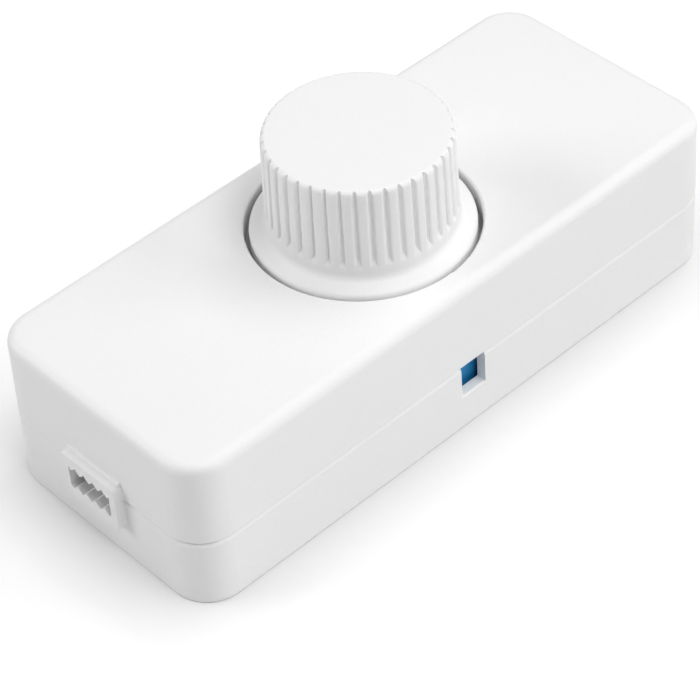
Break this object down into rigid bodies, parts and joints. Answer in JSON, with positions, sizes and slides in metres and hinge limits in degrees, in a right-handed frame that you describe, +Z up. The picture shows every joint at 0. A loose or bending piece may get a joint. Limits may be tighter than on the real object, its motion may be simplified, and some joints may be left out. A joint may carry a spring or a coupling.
{
  "type": "inline led dimmer controller",
  "caption": "Inline rotary dimmer: rounded rectangular case in two halves, ribbed knob in a round well on top, toothed cable entry in each end, small side window over a trimmer.",
  "frame": {"origin": "centre of the base, on the plane the case rests on, straight under the knob's axis", "axes": "+X along the case from the input cable entry to the output one, +Z up along the knob's axis, -Y towards the long side with the window"},
  "size_m": [0.1028, 0.041, 0.041],
  "materials": {
    "white_case_plastic": "moulded, very fine even texture",
    "white_knob_plastic": "moulded, very fine even texture",
    "blue_trimmer_plastic": "moulded, smooth",
    "brass_screw": "turned",
    "nickel_plated_steel": "plated",
    "zinc_plated_steel": "plated sheet",
    "die_cast_zinc": "die cast",
    "aluminium_shaft": "turned",
    "tinned_copper": "tinned",
    "brown_phenolic": "punched laminate",
    "carbon_track": "printed carbon",
    "black_rotor_plastic": "moulded",
    "spring_bronze": "stamped spring strip",
    "green_board": "solder mask over glass laminate",
    "green_block_plastic": "moulded",
    "black_epoxy": "moulded epoxy",
    "aluminium_sink": "extruded",
    "aluminium_can": "drawn",
    "black_sleeve": "heat shrunk film",
    "black_rubber": "moulded",
    "yellow_fuse_coating": "dipped coating",
    "tan_resistor_coating": "dipped coating"
  },
  "bodies": {
    "case": {"top_cover": "white_case_plastic", "bottom_cover": "white_case_plastic", "case_screws": "nickel_plated_steel", "circuit_board": "green_board", "pot_bushing": "die_cast_zinc", "pot_front_plate": "zinc_plated_steel", "pot_wafer": "brown_phenolic", "pot_track": "carbon_track", "pot_can": "zinc_plated_steel", "pot_terminals": "tinned_copper", "pot_washer": "nickel_plated_steel", "pot_nut": "nickel_plated_steel", "trimmer_case": "blue_trimmer_plastic", "trimmer_pins": "tinned_copper", "input_terminal_block": "green_block_plastic", "output_terminal_block": "green_block_plastic", "clamp_cages": "nickel_plated_steel", "clamp_screws": "zinc_plated_steel", "terminal_pins": "tinned_copper", "mosfet_case": "black_epoxy", "mosfet_tab": "nickel_plated_steel", "mosfet_leads": "tinned_copper", "heat_sink": "aluminium_sink", "heat_sink_screw": "nickel_plated_steel", "capacitor_can": "aluminium_can", "capacitor_sleeve": "black_sleeve", "capacitor_bung": "black_rubber", "capacitor_leads": "tinned_copper", "chip_case": "black_epoxy", "chip_leads": "tinned_copper", "fuse_disc": "yellow_fuse_coating", "fuse_leads": "tinned_copper", "diode_body": "black_epoxy", "diode_leads": "tinned_copper", "resistor_bodies": "tan_resistor_coating", "resistor_leads": "tinned_copper", "regulator_case": "black_epoxy", "regulator_leads": "tinned_copper"},
    "knob_and_shaft": {"knob": "white_knob_plastic", "pot_shaft": "aluminium_shaft", "pot_rotor": "black_rotor_plastic", "pot_wiper": "spring_bronze"},
    "trimmer_adjuster": {"trimmer_screw": "brass_screw"}
  },
  "joints": [
    {"name": "knob_turn", "type": "hinge", "parent": "case", "child": "knob_and_shaft", "pos_m": [0, 0, 0.0255], "axis": [0, 0, -1], "range_deg": [0, 300]},
    {"name": "trimmer_turn", "type": "hinge", "parent": "case", "child": "trimmer_adjuster", "pos_m": [0, -0.0182, 0.0102], "axis": [0, 1, 0], "continuous": true}
  ]
}
